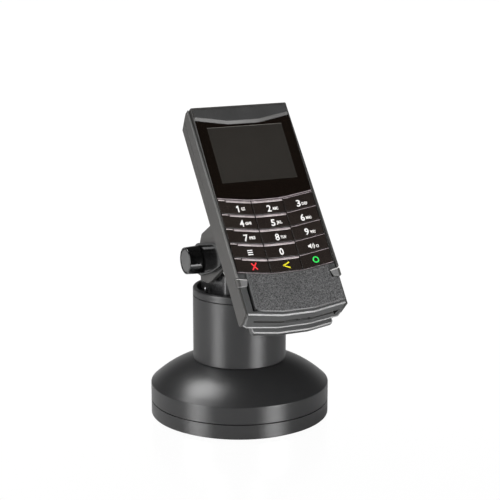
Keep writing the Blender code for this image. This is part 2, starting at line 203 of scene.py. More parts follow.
def lathe(profile, steps=128, shape=None):
    """Mesh of a closed (radius, height) outline turned about the local Z axis."""
    bm = bmesh.new()
    rings = []
    for r, z in profile:
        if r < TINY:
            rings.append([bm.verts.new((0, 0, z))])
            continue
        ring = []
        for k in range(steps):
            a = TAU * k / steps
            radius = shape(a, r, z) if shape else r
            ring.append(bm.verts.new((radius * math.cos(a), radius * math.sin(a), z)))
        rings.append(ring)
    for low, high in zip(rings, rings[1:] + rings[:1]):
        for k in range(steps):
            m = (k + 1) % steps
            corners = []
            for vert in (low[k % len(low)], low[m % len(low)], high[m % len(high)], high[k % len(high)]):
                if vert not in corners:
                    corners.append(vert)
            if len(corners) > 2:
                bm.faces.new(corners)
    return bm


def join(*parts):
    """One bmesh from several."""
    whole = parts[0]
    for part in parts[1:]:
        mesh = bpy.data.meshes.new("joined")
        part.to_mesh(mesh)
        part.free()
        whole.from_mesh(mesh)
        bpy.data.meshes.remove(mesh)
    return whole


def moved(bm, matrix):
    """The bmesh, moved."""
    bm.transform(matrix)
    return bm


def add_object(name, data):
    """New object in the scene."""
    obj = bpy.data.objects.new(name, data)
    bpy.context.scene.collection.objects.link(obj)
    return obj


def raw(bm, matrix):
    """Plain object from a bmesh, for cutting with."""
    bm.transform(matrix)
    bmesh.ops.recalc_face_normals(bm, faces=bm.faces)
    mesh = bpy.data.meshes.new("tool")
    bm.to_mesh(mesh)
    bm.free()
    return add_object("tool", mesh)


def evaluated(obj):
    """Bmesh of an object as it looks with its modifiers."""
    bpy.context.view_layer.update()
    done = obj.evaluated_get(bpy.context.evaluated_depsgraph_get())
    bm = bmesh.new()
    bm.from_mesh(done.to_mesh())
    done.to_mesh_clear()
    return bm


def carve(bm, matrix, tools):
    """Mesh of bm with tools cut out of it or joined to it, given as (bmesh, matrix, operation)."""
    base = raw(bm, matrix)
    others = []
    for tool, place, operation in tools:
        other = raw(tool, place)
        mod = base.modifiers.new("carve", "BOOLEAN")
        mod.operation = operation
        mod.solver = "EXACT"
        mod.object = other
        others.append(other)
    result = evaluated(base)
    for obj in [base] + others:
        mesh = obj.data
        bpy.data.objects.remove(obj, do_unlink=True)
        bpy.data.meshes.remove(mesh)
    bmesh.ops.remove_doubles(result, verts=result.verts, dist=2e-6)
    bmesh.ops.dissolve_degenerate(result, edges=result.edges, dist=2e-6)
    return result


def minus(bm, place):
    """Tool for carve that takes material away."""
    return (bm, place, "DIFFERENCE")


def tint_faces(bm, matrix, index, test):
    """Gives a material index to the faces whose centre and direction pass a test in a local frame."""
    back = matrix.inverted()
    turn = back.to_3x3()
    for face in bm.faces:
        centre = back @ face.calc_center_median()
        aim = (turn @ face.normal).normalized()
        if test(centre, aim):
            face.material_index = index
    return bm


def piece(name, bm, matrix, mats, body, stands_for=(), sharp=32, bevel=0.0):
    """Finished piece, placed, shaded and riding on its body; mats names materials in M."""
    if matrix is not None:
        bm.transform(matrix)
    bmesh.ops.recalc_face_normals(bm, faces=bm.faces)
    mesh = bpy.data.meshes.new(name)
    bm.to_mesh(mesh)
    bm.free()
    obj = add_object(name, mesh)
    for key in [mats] if isinstance(mats, str) else mats:
        mesh.materials.append(M[key])
    mesh.shade_smooth()
    mesh.set_sharp_from_angle(angle=math.radians(sharp))
    if bevel:
        edge = obj.modifiers.new("edge", "BEVEL")
        edge.width = bevel * MM
        edge.segments = 2
        edge.limit_method = "ANGLE"
        edge.angle_limit = math.radians(sharp)
        edge.harden_normals = False
    weigh = obj.modifiers.new("weigh", "WEIGHTED_NORMAL")
    weigh.keep_sharp = True
    weigh.weight = 90
    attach(obj, body)
    if stands_for:
        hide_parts(*([stands_for] if isinstance(stands_for, str) else stands_for))


# ---------------------------------------------------------------- materials

def add_node(mat, kind, **inputs):
    """New node with its named inputs set or linked."""
    tree = mat.node_tree
    node = tree.nodes.new(kind)
    for key, value in inputs.items():
        socket = node.inputs[key.replace("_", " ")]
        if isinstance(value, bpy.types.NodeSocket):
            tree.links.new(value, socket)
        else:
            socket.default_value = value
    return node


def span(mat, value, low, high, to_low, to_high):
    """Value mapped from one span to another, clamped."""
    node = add_node(mat, "ShaderNodeMapRange", Value=value)
    for key, number in (("From Min", low), ("From Max", high), ("To Min", to_low), ("To Max", to_high)):
        node.inputs[key].default_value = number
    return node.outputs["Result"]


def surface(name, colour, roughness, metallic=0.0, specular=0.5, coat=0.0, broad=(60, 0.10),
            fine=(1500, 0.10), bump=0.00001, rough_swing=0.06, stretch=(1, 1, 1), tint=None):
    """Principled material with broad colour drift, fine grain, grain bump and roughness drift."""
    mat = bpy.data.materials.new(name)
    mat.use_nodes = True
    tree = mat.node_tree
    bsdf = tree.nodes["Principled BSDF"]
    coord = add_node(mat, "ShaderNodeTexCoord")
    place = add_node(mat, "ShaderNodeMapping", Vector=coord.outputs["Object"])
    place.inputs["Scale"].default_value = stretch
    vector = place.outputs["Vector"]
    wide = add_node(mat, "ShaderNodeTexNoise", Vector=vector, Scale=broad[0], Detail=3.0, Roughness=0.55)
    grain = add_node(mat, "ShaderNodeTexNoise", Vector=vector, Scale=fine[0], Detail=2.0, Roughness=0.6)
    drift = span(mat, wide.outputs["Fac"], 0.1, 0.9, 1 - 2 * broad[1], 1 + 2 * broad[1])
    grit = span(mat, grain.outputs["Fac"], 0.32, 0.68, 1 - fine[1], 1 + fine[1])
    both = add_node(mat, "ShaderNodeMath")
    both.operation = "MULTIPLY"
    tree.links.new(drift, both.inputs[0])
    tree.links.new(grit, both.inputs[1])
    shade = add_node(mat, "ShaderNodeVectorMath")
    shade.operation = "SCALE"
    if tint:
        mix = tree.nodes.new("ShaderNodeMix")
        mix.data_type = "RGBA"
        tree.links.new(span(mat, wide.outputs["Fac"], 0.35, 0.65, 0.0, 1.0), mix.inputs[0])
        mix.inputs[6].default_value = (*colour, 1)
        mix.inputs[7].default_value = (*tint, 1)
        tree.links.new(mix.outputs[2], shade.inputs[0])
    else:
        shade.inputs[0].default_value = colour
    tree.links.new(both.outputs[0], shade.inputs["Scale"])
    tree.links.new(shade.outputs[0], bsdf.inputs["Base Color"])
    swing = 2 * rough_swing
    polish = span(mat, wide.outputs["Fac"], 0.1, 0.9, roughness - swing, roughness + swing)
    tree.links.new(polish, bsdf.inputs["Roughness"])
    bsdf.inputs["Metallic"].default_value = metallic
    bsdf.inputs["Specular IOR Level"].default_value = specular
    bsdf.inputs["Coat Weight"].default_value = coat
    if coat:
        bsdf.inputs["Coat Roughness"].default_value = 0.06
    if bump:
        relief = add_node(mat, "ShaderNodeBump", Height=grain.outputs["Fac"])
        relief.inputs["Strength"].default_value = 1.0
        relief.inputs["Distance"].default_value = bump
        tree.links.new(relief.outputs["Normal"], bsdf.inputs["Normal"])
    return mat


M = {
    "paint": surface("satin_paint", (0.0165, 0.0165, 0.017), 0.36, broad=(25, 0.06), fine=(2600, 0.10),
                     bump=0.000006, rough_swing=0.03),
    "base": surface("base_paint", (0.0165, 0.0165, 0.017), 0.30, broad=(25, 0.06), fine=(2600, 0.10),
                    bump=0.000006, rough_swing=0.013),
    "case": surface("case_plastic", (0.0455, 0.044, 0.042), 0.42, broad=(45, 0.08), rough_swing=0.05),
    "grain": surface("grained_plastic", (0.058, 0.058, 0.059), 0.55, broad=(60, 0.06), fine=(1250, 0.95),
                     bump=0.0002, rough_swing=0.08),
    "band": surface("band_plastic", (0.033, 0.033, 0.033), 0.5, broad=(60, 0.05), fine=(1900, 0.25),
                    bump=0.00003),
    "edge": surface("edge_plastic", (0.056, 0.057, 0.057), 0.33, broad=(45, 0.07), fine=(1700, 0.12),
                    bump=0.000008, rough_swing=0.027),
    # Light grey for thin edge faces on the reader and toe: painted highlight lines
    "lip": surface("painted_highlight_lip", (0.22, 0.22, 0.22), 0.30, broad=(45, 0.07), fine=(1700, 0.10),
                   bump=0.000006, rough_swing=0.013),
    # Near-white for the clip fingers' top chamfer: a painted highlight line
    "glint": surface("painted_highlight_edge", (0.60, 0.59, 0.58), 0.30, fine=(1500, 0.08), bump=0.000004,
                     rough_swing=0.013),
    # Mid grey for the cradle wall's front rim: a painted highlight line
    "rim": surface("painted_highlight_rim", (0.13, 0.13, 0.127), 0.30, broad=(45, 0.10), fine=(1700, 0.10),
                   bump=0.000006, rough_swing=0.013),
    # Near-black for faces inside the card slot and on the case sides next to the cradle walls: painted shade
    "painted_shade": surface("painted_shade_plastic", (0.018, 0.017, 0.016), 0.45, broad=(45, 0.10), fine=(1700, 0.10),
                    bump=0.000006),
    "bracket": surface("bracket_paint", (0.02, 0.02, 0.0205), 0.22, broad=(25, 0.06), fine=(2600, 0.10),
                       bump=0.000004, rough_swing=0.013),
    "black": surface("black_plastic", (0.011, 0.011, 0.011), 0.42, broad=(50, 0.1), fine=(1600, 0.15)),
    "gloss": surface("gloss_black", (0.0035, 0.0035, 0.0036), 0.14, broad=(40, 0.15), fine=(900, 0.1),
                     bump=0.000002, rough_swing=0.04, coat=0.3),
    "pale": surface("pale_plastic", (0.15, 0.15, 0.15), 0.36, broad=(60, 0.06), fine=(1500, 0.08)),
    "cap": surface("cap_plastic", (0.07, 0.07, 0.07), 0.48, broad=(70, 0.06), bump=0.000012),
    # Pinkish greys for the thin bars along the key rows: painted highlights, a dim and a bright copy
    "bar_dim": surface("painted_highlight_dim", (0.25, 0.21, 0.22), 0.25, broad=(160, 0.25), fine=(1400, 0.2),
                       bump=0.000005),
    "bar": surface("painted_highlight_bright", (0.44, 0.385, 0.39), 0.25, broad=(160, 0.2), fine=(1400, 0.15),
                   bump=0.000005),
    "key": surface("key_gloss", (0.0145, 0.0105, 0.009), 0.22, broad=(50, 0.10), fine=(1300, 0.08),
                   bump=0.000003, rough_swing=0.014, tint=(0.0165, 0.0125, 0.0105)),
    "glass": surface("window_glass", (0.0048, 0.0030, 0.0020), 0.05, broad=(30, 0.06), fine=(600, 0.05),
                     bump=0.0, rough_swing=0.015, specular=0.4),
    "lcd": surface("display_area", (0.023, 0.021, 0.0185), 0.12, broad=(28, 0.07), fine=(2400, 0.06),
                   bump=0.0, rough_swing=0.03, specular=0.35),
    "lcd_edge": surface("display_edge", (0.13, 0.125, 0.115), 0.2, broad=(90, 0.15), fine=(2000, 0.1),
                        bump=0.0),
    "steel": surface("zinc_steel", (0.48, 0.48, 0.49), 0.3, metallic=1.0, broad=(90, 0.10), fine=(900, 0.12),
                     bump=0.000006, stretch=(1, 1, 8)),
    "alloy": surface("machined_alloy", (0.62, 0.62, 0.63), 0.36, metallic=1.0, broad=(80, 0.06),
                     fine=(1800, 0.10), bump=0.000006, stretch=(1, 1, 12)),
    "rubber": surface("matt_rubber", (0.018, 0.018, 0.018), 0.78, broad=(60, 0.12), fine=(1100, 0.25),
                      bump=0.00003),
    "board": surface("board_lacquer", (0.015, 0.09, 0.035), 0.35, broad=(220, 0.35), fine=(900, 0.2),
                     tint=(0.05, 0.10, 0.03)),
    "cell": surface("cell_wrap", (0.09, 0.11, 0.15), 0.32, broad=(90, 0.12), fine=(700, 0.08)),
    "copper": surface("etched_copper", (0.62, 0.30, 0.16), 0.3, metallic=1.0, broad=(300, 0.25),
                      fine=(1500, 0.15)),
    "white": surface("print_white", (0.80, 0.79, 0.78), 0.4, broad=(200, 0.05), fine=(1500, 0.05), bump=0.0),
    "letters": surface("print_grey", (0.80, 0.78, 0.76), 0.4, broad=(200, 0.08), fine=(1500, 0.08), bump=0.0),
    "red": surface("print_red", (0.85, 0.035, 0.04), 0.4, broad=(200, 0.08), fine=(1500, 0.06), bump=0.0),
    "yellow": surface("print_yellow", (0.80, 0.70, 0.02), 0.4, broad=(200, 0.06), fine=(1500, 0.06),
                      bump=0.0),
    "green": surface("print_green", (0.03, 0.66, 0.10), 0.4, broad=(200, 0.08), fine=(1500, 0.06), bump=0.0),
}


# ---------------------------------------------------------------- fixings

def hexagon(apothem):
    """Radius function that cuts a turned shape down to a hexagon."""
    def shape(a, r, z):
        turn = (a + math.pi / 6) % (math.pi / 3) - math.pi / 6
        return min(r, apothem / math.cos(turn))
    return shape


def socket(apothem, radius):
    """Radius function that makes only the points at radius hexagonal."""
    def shape(a, r, z):
        turn = (a + math.pi / 6) % (math.pi / 3) - math.pi / 6
        return apothem / math.cos(turn) if abs(r - radius) < TINY else r
    return shape


def hex_nut(bore, across, low, high, collar=0.0):
    """Chamfered hexagon nut."""
    apothem = across / 2
    corner = apothem / math.cos(math.pi / 6)
    c = (corner - apothem) * 0.55
    outer = [(apothem * 0.96, low), (corner * 0.965, low + c * 0.6), (corner, low + c * 1.3),
             (corner, high - c * 1.3), (corner * 0.965, high - c * 0.6), (apothem * 0.96, high)]
    inner = [(bore + 0.5, high), (bore, high - 0.5), (bore, low + 0.5), (bore + 0.5, low)]
    if collar:
        inner = [(bore + 2.0, high), (bore + 1.9, high + collar * 0.7), (bore + 1.6, high + collar),
                 (bore + 0.4, high + collar), (bore, high + collar - 0.4), (bore, low + 0.5),
                 (bore + 0.5, low)]
    return lathe(outer + inner, 96, hexagon(apothem))


def pan_screw(shank, tip, under, head, top, hexa):
    """Screw with a rounded head and a hexagon socket: shank from tip to under, head up to top."""
    profile = [(0, tip), (shank * 0.7, tip), (shank, tip + shank * 0.5), (shank, under), (head - 0.2, under),
               (head, under + 0.25), (head, top - 0.9), (head - 0.15, top - 0.45), (head - 0.5, top - 0.12),
               (head - 1.0, top), (hexa + 0.35, top), (hexa + 0.02, top - 0.3), (hexa + 0.02, top - 1.3),
               (0, top - 1.3)]
    return lathe(profile, 48, socket(hexa, hexa + 0.02))


def threaded(radius, low, high, pitch, ends, steps=40):
    """Rod with helical thread over the given spans of height."""
    heights = []
    z = low + 0.8
    while z < high - 0.8:
        inside = any(a <= z <= b for a, b in ends)
        heights.append(z)
        z += pitch / 5 if inside else 1.5
    profile = [(0, low), (radius - 1.0, low), (radius - 0.45, low + 0.4)]
    profile += [(radius, z) for z in heights]
    profile += [(radius - 0.45, high - 0.4), (radius - 1.0, high), (0, high)]

    def shape(a, r, z):
        if r < radius - TINY or not any(lo <= z <= hi for lo, hi in ends):
            return r
        t = (z / pitch - a / TAU) % 1.0
        return r - 0.42 * (1 - abs(2 * t - 1))
    return lathe(profile, steps, shape)


# ---------------------------------------------------------------- stand

def dome_line(low, high, sag, count):
    """Shallow arc of the dome, bulging outwards by sag."""
    dr, dz = high[0] - low[0], high[1] - low[1]
    length = math.hypot(dr, dz)
    out = []
    for k in range(count + 1):
        t = k / count
        bulge = 4 * sag * t * (1 - t)
        out.append((low[0] + dr * t + bulge * dz / length, low[1] + dz * t - bulge * dr / length))
    return out


def drum(radius, low, high, steps=24):
    """Plain drum, mostly for cutting holes with."""
    return lathe([(0, low), (radius, low), (radius, high), (0, high)], steps)


def build_stand():
    """Foot, weight, dome, tube, collar, plug, bolts and bush."""
    under = [(0, 0.0)]
    for r in (12, 18, 24, 30, 36, 42, 48):
        under += [(r, 0.0), (r + 0.3, 0.35), (r + 1.4, 0.35), (r + 1.7, 0.0)]
    foot = under + [(54.1, 0.0), (54.4, 0.15), (54.5, 0.4), (54.5, 0.8), (54.3, 1.0), (0, 1.0)]
    piece("rubber_foot", lathe(foot, 128), STAND, "rubber", "base", "foot_pad")
    holes = []
    bosses = []
    for k in range(3):
        a = math.radians(90 + 120 * k)
        at = shifted(STAND, 44 * math.cos(a), 44 * math.sin(a))
        holes += [minus(drum(2.1, 0, 20), at), minus(drum(3.9, 0, 4.6), at)]
        bosses += [(drum(3.5, 10.8, 27.0), at, "UNION")]
        bosses += [minus(drum(1.9, 5, 21.5), at)]
        flip = shifted(at, 0, 0, 22.3) @ FLIP
        piece(f"cover_bolt_{k + 1}", pan_screw(1.7, 1.8, 18.0, 3.5, 20.5, 1.5), flip, "steel", "base",
              f"cover_screw_{k + 1}")
    weight = rounded([(4.4, 7.0), (7.2, 7.0), (7.2, 1.3, 0.3), (BASE_R, 1.3, 0.5), (BASE_R, 10.5, 0.45),
                      (4.4, 10.5)], 6)
    piece("weight_disc", carve(lathe(weight, STAND_STEPS), STAND, holes), None, "base", "base",
          "base_weight")
    rise = dome_line((57.2, 22.0), (29.4, 37.7), 2.0, 28)
    foot_line = [(54, 10.8), (BASE_R, 10.8, 0.45), (BASE_R, 21.8, 1.0), (*rise[3], 0)]
    dome = rounded(foot_line, 6)[1:-1] + rise[3:-1]
    dome += [(29.75, 37.58), (29.4, 37.7)]
    dome += [(9, 37.7), (9, 34.5), (29, 34.5), (42, 29.6), (51, 23.6), (54, 18.5), (54, 10.8)]
    piece("dome_cover", carve(lathe(dome, STAND_STEPS), STAND, bosses), None, "base", "base",
          "base_cover")
    tube = rounded([(TUBE_BORE, 38), (TUBE_R, 38, 0.25), (TUBE_R, 79.85, 0.3), (TUBE_BORE, 79.85, 0.2)], 4)
    piece("stand_tube", lathe(tube, STAND_STEPS), STAND, "paint", "base", "pole_tube")
    ring = rounded([(TUBE_BORE, 80.15, 0.2), (TUBE_R, 80.15, 0.3), (TUBE_R, 85.0, 1.25),
                    (TUBE_BORE, 85.0, 0.5)], 6)
    piece("collar_ring", lathe(ring, STAND_STEPS), STAND, "paint", "base", "pole_collar")
    plug = rounded([(4.4, 37.9, 0.3), (27.1, 37.9, 0.4), (27.1, 48.0, 0.6), (4.4, 48.0, 0.5)], 4)
    piece("tube_core", lathe(plug, 96), STAND, "alloy", "base", "tube_plug")
    bolt = threaded(4.0, 4.0, 52.0, 1.25, [(36, 51)], 40)
    flip = shifted(STAND, 0, 0, 8.9) @ FLIP
    cap = lathe([(0, 2.4), (6.0, 2.4), (6.5, 2.9), (6.5, 6.1), (5.9, 6.7), (3.3, 6.7), (3.0, 6.4), (3.0, 3.6),
                 (0, 3.6)], 48, socket(2.9, 3.0))
    whole = carve(bolt, STAND, [(cap, flip, "UNION")])
    piece("anchor_bolt", whole, None, "steel", "base", "centre_bolt")
    piece("anchor_nut", hex_nut(4.35, 13.0, 48.3, 51.7), STAND, "steel", "base", "centre_nut")
    bush = rounded([(8.2, 64.0, 0.5), (27.1, 64.0, 0.5), (27.1, 75.5, 0.5), (8.2, 75.5, 0.6)], 3)
    lug = stack(plate([(21.5, -1.5), (26.6, -1.5), (26.6, 1.5), (21.5, 1.5)], 74.0, 77.0, 0.0, 0.5))
    piece("bearing_bush", carve(lathe(bush, 96), STAND, [(lug, STAND, "UNION")]), None, "black", "base",
          "swivel_bush")


def bend_plan(out, back, front, radius, steps):
    """Plan of the folded bracket with its two round bends."""
    right = [(out - 0.8, back + 0.8), (out, back)]
    for k in range(steps + 1):
        a = -math.pi / 2 * k / steps
        right.append((out - radius + radius * math.cos(a), front + radius + radius * math.sin(a)))
    return right + [(-x, y) for x, y in reversed(right)]


def build_head():
    """Turntable, nut, stop pin, folded bracket, tilt bolt, washers and lock nut."""
    disc = rounded([(0, 58), (7.9, 58, 0.6), (7.9, 77.4), (26.9, 77.4, 0.3), (26.9, 80.4, 0.5), (0, 80.4)], 4)
    pin_at = shifted(STAND, -23.5, 0)
    holes = [minus(drum(1.5, 70, 90), pin_at)]
    for x in BRACKET_BOLT_X:
        holes.append(minus(drum(2.3, 78.2, 90), shifted(STAND, x, BRACKET_BOLT_Y)))
    piece("turntable", carve(lathe(disc, 128), STAND, holes), None, "black", "head",
          "swivel_disc")
    piece("spindle_nut", hex_nut(8.15, 24.4, 58.2, 61.6), STAND, "steel", "head", "swivel_nut")
    washer = rounded([(8.2, 61.9, 0.2), (14, 61.9, 0.3), (14, 63.7, 0.3), (8.2, 63.7, 0.2)], 3)
    piece("spindle_washer", lathe(washer, 64), STAND, "alloy", "head", "swivel_washer")
    pin = [(0, 75.9), (0.9, 75.9), (1.2, 76.2), (1.2, 85.6), (1.08, 86.05), (0.8, 86.35), (0.4, 86.5),
           (0, 86.5)]
    piece("stop_peg", lathe(pin, 32), pin_at, "steel", "head", "stop_pin")
    outer = bend_plan(19.5, 17.7, -20.6, 4.0, 10)
    hollow = rounded([(-17.5, 30), (-17.5, -18.2, 2.0), (17.5, -18.2, 2.0), (17.5, 30)], 8)
    trim = [(-30, 97.0), (-15.5, 97.0), (-9.5, 104), (-8.5, 108.5), (-5, 113), (0, 115.5), (5, 113),
            (8.5, 108.5), (9.5, 104), (15.5, 97), (30, 97)]
    trim = rounded([(y, z, 0 if abs(y) > 20 else 2.5) for y, z in trim] + [(30, 140), (-30, 140)], 4)
    across = Matrix(((0, 0, 1, 0), (1, 0, 0, 0), (0, 1, 0, 0), (0, 0, 0, 1)))
    tools = [minus(stack([(hollow, 83.2), (hollow, 130)]), STAND),
             minus(stack([(trim, -30), (trim, 30)]), STAND @ across),
             minus(drum(3.1, -40, 40, 48), BOLT)]
    for x in BRACKET_BOLT_X:
        tools.append(minus(drum(2.3, 70, 90), shifted(STAND, x, BRACKET_BOLT_Y)))
    body = carve(stack([(outer, 80.7), (outer, 116)]), STAND, tools)
    piece("folded_bracket", body, None, "bracket", "head", "tilt_bracket", sharp=30, bevel=0.3)
    for k, x in enumerate(BRACKET_BOLT_X):
        at = shifted(STAND, x, BRACKET_BOLT_Y)
        piece(f"bracket_bolt_{k + 1}", pan_screw(2.0, 78.5, 83.4, 3.6, 85.5, 1.5), at, "steel", "head",
              f"bracket_screw_{k + 1}")
    piece("pivot_bolt", threaded(3.0, -31.0, 35.5, 1.0, [(-31, -24.6), (28.7, 35.5)]), BOLT, "steel", "head",
          "tilt_bolt")

    def notched(a, r, h):
        return r - (0.25 if r > 8.5 and int(a / TAU * 36) % 2 else 0)

    for side, z in (("l", 19.8), ("r", -21.2)):
        ring = rounded([(3.3, z, 0.2), (9, z, 0.3), (9, z + 1.4, 0.3), (3.3, z + 1.4, 0.2)], 3)
        piece(f"grip_washer_{side}", lathe(ring, 72, notched),
              BOLT, "rubber", "head", f"friction_washer_{side}")
    turned = BOLT @ FLIP
    piece("pivot_nut", hex_nut(3.1, 11.0, 24.8, 29.2, 0.8), turned, "steel", "head", "lock_nut")


def build_knob():
    """Clamp knob and its end cap."""
    knob = rounded([(3.1, 28.6), (8.3, 28.6, 0.2), (8.95, 29.2, 0.4), (8.85, 31.2, 0.5), (8.5, 37.75, 0.7),
                    (7.45, 37.75, 0.25), (7.35, 36.2), (3.1, 36.2)], 5)
    piece("knob_shell", lathe(knob, 128), BOLT, "gloss", "knob", "clamp_knob")
    cap = rounded([(0, 36.4), (7.15, 36.4, 0.2), (7.15, 37.5, 0.3), (0, 37.42)], 4)
    piece("knob_end", lathe(cap, 96), BOLT, "cap", "knob", "knob_cap")


# ---------------------------------------------------------------- cradle

def ear_points():
    """Side outline of an ear."""
    points = [(41.5, -17.4), (21.5, -17.2), (5.5, -16.4, 3.0)]
    for k in range(13):
        a = math.radians(-100 - 6.5 * k)
        points.append((15.6 * math.cos(a) + 1.5, 15.6 * math.sin(a) - 0.6))
    return rounded(points + [(-12.6, 4, 2), (-7.5, 9.0, 2), (-1, 11.2, 2), (5.8, 14.9, 3), (21, 13.1, 3),
                             (41.5, 6.0)], 4)


def rim_depth(v):
    """Depth of the cradle wall's front rim, which leans a little against the case."""
    return -0.41 - 0.0365 * v


def back_wedge(side):
    """Rings of the wedge that chamfers the back corner of one cradle wall, wider towards the bottom."""
    rings = []
    for v, n in ((-90, -13.1), (-50, -13.1), (75, -16.85)):
        section = [(n + 2.1, 35.43), (n + 0.2, 34.5), (n - 0.35, 34.2), (n - 8.4, 30.3), (-30, 30.3),
                   (-30, 40), (n + 2.1, 40)]
        rings.append(([(x, side * u) for x, u in section], v))
    return rings


def clip_section(sign, front):
    """Hooked section of a clip finger, by the height of its front."""
    points = [(0.1, 27.7, 0.1), (front, 27.7, 0.3), (front, 32.6, 0), (front, 34.3, 0.45), (-1.5, 34.3, 0.2),
              (-1.5, 33.25, 0.2), (0.1, 33.25, 0.1)]
    return rounded([(n, sign * u, r) for n, u, r in points], 3)


def build_cradle():
    """Tray with walls and ears, clamp saddle, toe, fingers and screws."""
    base = rounded([(-32.5, -68.2, 1.5), (32.5, -68.2, 1.5), (WALL_HALF, -64, 2), (WALL_HALF, 60.6, 1.5),
                    (32.3, 63.2, 1.0), (-32.3, 63.2, 1.0), (-WALL_HALF, 60.6, 1.5), (-WALL_HALF, -64, 2)], 5)
    wall = [(rim_depth(70.0), 70.0, 0.7), (rim_depth(-46.4), -46.4, 0.7), (-2.0, -46.4, 0.1),
            (-2.0, -52.5, 0.1), (-0.45, -52.5, 0.5), (-0.45, -69.8, 0.7), (-11.9, -72.6, 1.0),
            (-13.1, -71.3, 1.0), (-15.4, -68.0, 2.0), (-17.15, -65.5, 1.0), (-17.15, 62.8, 1.0),
            (-9.0, 67.3, 3.0)]
    wall = rounded([(FACE_N + n, v + FACE_V, r) for n, v, r in wall], 5)
    tools = []
    cuts = []
    for sign in (1, -1):
        if sign > 0:
            shape = stack([(wall, 33.1)] + rim(wall, WALL_HALF, 0.35, 1, 4))
            ears = (21.5, 24.5)
        else:
            shape = stack(rim(wall, -WALL_HALF, 0.35, -1, 4) + [(wall, -33.1)])
            ears = (-24.5, -21.5)
        tools.append((shape, SIDE, "UNION"))
        tools.append((stack(plate(ear_points(), ears[0], ears[1], 0.35, 0.35)), SIDE, "UNION"))
        corner = [(sign * 32.0, 70.8, 0), (sign * 32.9, 70.1, 0.7), (sign * 34.45, 68.5, 1.6),
                  (sign * 34.45, 58, 0), (sign * 42, 58, 0), (sign * 42, 80, 0), (sign * 32.0, 80, 0)]
        cuts.append(minus(stack([(rounded(corner, 5), -8.9), (rounded(corner, 5), 6)]), FACE))
        cuts.append(minus(stack(back_wedge(sign)), ALONG))
        groove = []
        for v, n in ((-1.0, -13.7), (7.0, -9.6), (8.0, -9.3), (75.0, -10.98)):
            loop = [(n - 0.17, 34.05), (n + 0.17, 34.05), (n + 0.17, 35.2), (n - 0.17, 35.2)]
            groove.append(([(x, sign * u) for x, u in loop], v))
        cuts.append(minus(stack(groove), ALONG))
    end = [(1.0, -52.5), (-2.0, -52.5), (-2.0, -69.8), (-16.0, -71.5), (-16.0, -80.0), (1.0, -80.0)]
    end = [(FACE_N + n, v + FACE_V) for n, v in end]
    cuts.append(minus(stack([(end, -36.0), (end, -32.9)]), SIDE))
    tools += cuts
    tools.append(minus(drum(3.1, -40, 40, 48), BOLT))
    for u in TRAY_SCREW_U:
        at = shifted(FACE, u, TRAY_SCREW_V)
        tools.append(minus(drum(1.8, -30, 0), at))
    tray = carve(stack(plate(base, -17.2, -14.5, 0.7, 0.2)), FACE, tools)
    # Front-facing rim faces of one wall (u below -33) get the painted highlight colour
    tint_faces(tray, FACE, 1, lambda c, a: a.z > 0.5 and c.x < -33.0 and c.y > -46.0)
    piece("cradle_shell", tray, None, ["case", "rim"], "terminal", "cradle_tray", sharp=38)
    saddle = [(10.4 * math.cos(math.radians(66 + 8 * k)), 10.4 * math.sin(math.radians(66 + 8 * k)))
              for k in range(24)]
    saddle = rounded(saddle + [(13.5, -15.2, 4), (27.4, -17.2, 3), (34, -15.5, 2), (34, -4.5, 2),
                               (26.1, -0.9, 4), (13.7, 4.85, 3)], 5)
    body = carve(stack(plate(saddle, 24.8, 28.2, 0.3, 0.9, 4)), SIDE, [minus(drum(3.1, -40, 40, 48), BOLT)])
    piece("saddle_block", body, None, "gloss", "terminal", "clamp_saddle")
    low = dip(-77.0, 2.3, -26.2, 26.2, 27, 0.8, 30)
    toe = rounded([(-27, -68.6, 0.5), (-27, -75.9, 0.6)] + low + [(27, -75.9, 0.6), (27, -68.6, 0.5)], 3)
    rings = [(inset(toe, d), n) for d, n in ((0.7, -16.9), (0.2, -16.75), (0.0, -16.3), (0.0, -13.25),
                                             (0.04, -13.1), (0.66, -12.68), (0.85, -12.6))]
    # Ring band 4, along the toe's lower front edge, is painted light as a highlight line
    piece("toe_plate", stack(rings, paint={4: 1}), FACE, ["edge", "lip"], "terminal",
          "cradle_toe", sharp=24)
    for side, sign in (("l", -1), ("r", 1)):
        full = clip_section(sign, 1.5)
        slim = clip_section(sign, 0.85)
        # Ring band 2, the chamfer along the finger's top, gets the near-white painted highlight
        clip = stack([(inset(full, 0.2), -52.2), (full, -52.0), (full, -47.6), (slim, -46.8),
                      (inset(slim, 0.08), -46.7)], paint={2: 2})
        for vert in clip.verts:
            inner = 34.3 - abs(vert.co.y)
            upper = vert.co.z > -50.0
            vert.co.z -= (0.2 if upper else 0.06) * inner
            if not upper and inner > 4.0:
                vert.co.y += sign * 1.3
        bmesh.ops.recalc_face_normals(clip, faces=clip.faces)
        tint_faces(clip, Matrix.Identity(4), 1, lambda c, a: c.x < 0.0 or (abs(c.y) > 32.5 and a.z < 0.3))
        piece(f"finger_{side}", clip, ALONG, ["pale", "case", "glint"], "terminal",
              f"clip_finger_{side}")
    for k, u in enumerate(TRAY_SCREW_U):
        at = shifted(FACE, u, TRAY_SCREW_V) @ FLIP
        piece(f"tray_screw_{k + 1}", pan_screw(1.5, 14.5, 17.45, 3.1, 18.9, 1.2), at, "steel", "terminal",
              f"cradle_screw_{k + 1}")


# ---------------------------------------------------------------- terminal case

def case_points(n):
    """Outline of the case at a depth; its top end slopes back."""
    top = 69.2 + 0.435 * min(0.0, n + 2.9)
    low = dip(-42.8, 3.1, -CASE_HALF, CASE_HALF, GLASS_HALF, 0.5, 20)
    cut = 0.15 + 0.4 * max(0.0, 1.0 + n)
    corner = [(CASE_HALF, top - cut, 0.4 * cut), (CASE_HALF - cut, top, 0.4 * cut)]
    return rounded(low + corner + [(-u, v, r) for u, v, r in reversed(corner)], 4)


def case_rings(*specs):
    """Rings of the case from (inset, depth) pairs."""
    return [(inset(case_points(n), d), n) for d, n in specs]


